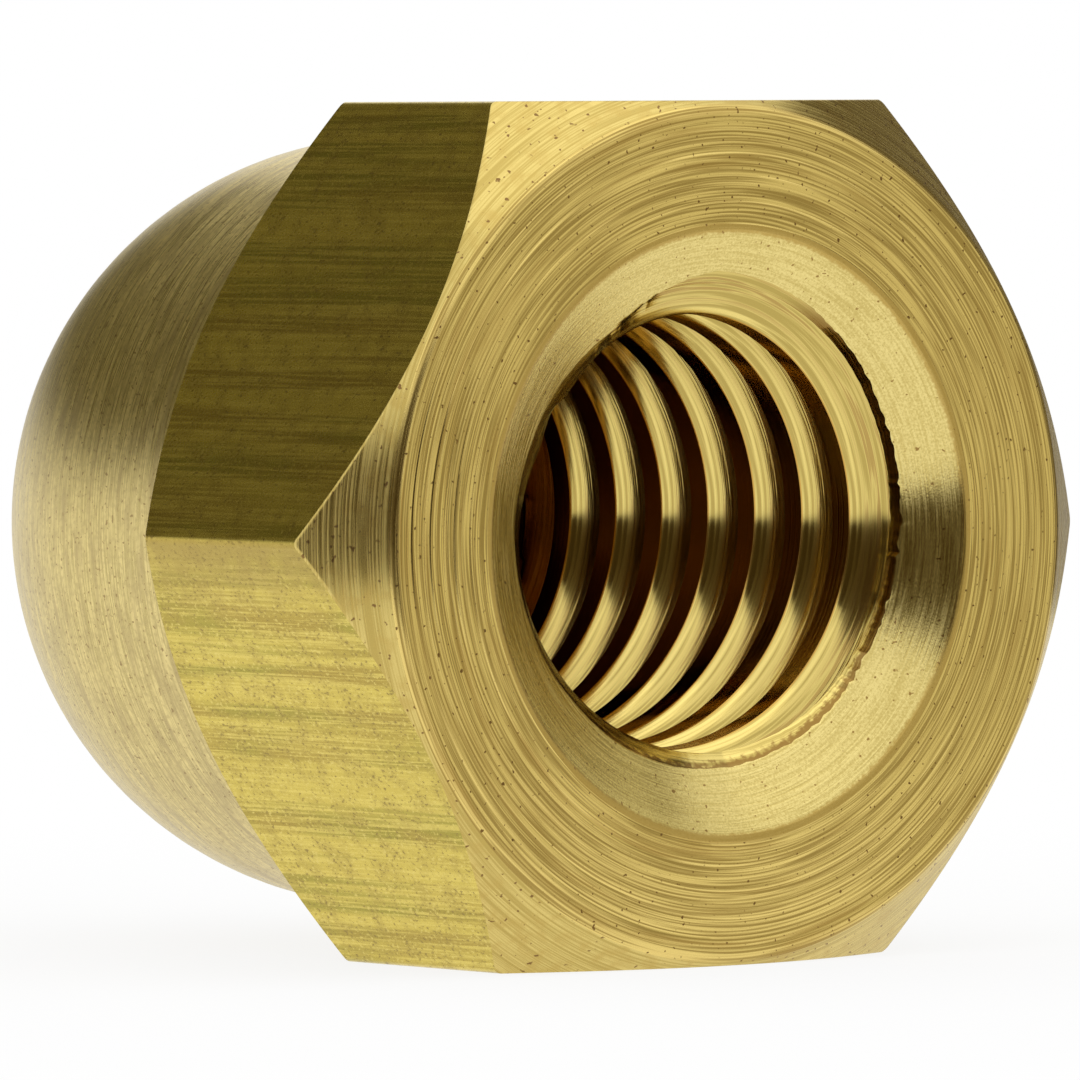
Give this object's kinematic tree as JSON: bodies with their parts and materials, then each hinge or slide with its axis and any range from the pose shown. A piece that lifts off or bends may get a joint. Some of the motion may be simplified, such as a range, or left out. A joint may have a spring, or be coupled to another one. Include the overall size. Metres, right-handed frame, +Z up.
{
  "type": "cap nut",
  "caption": "Brass cap nut: a chamfered hexagon with a domed crown and a blind tapped hole with a countersunk mouth, which closes off the end of a bolt or stud.",
  "frame": {"origin": "centre of the bearing face, on the axis of the thread", "axes": "-Y out of the bearing face, along the thread; +Y towards the crown; +Z up, out of the flat opposite the one that the nut lies on"},
  "size_m": [0.0196, 0.0187, 0.017],
  "materials": {
    "brass": "turned and drawn, satin, with light stains"
  },
  "bodies": {
    "root": {"cap_nut": "brass"}
  },
  "joints": []
}
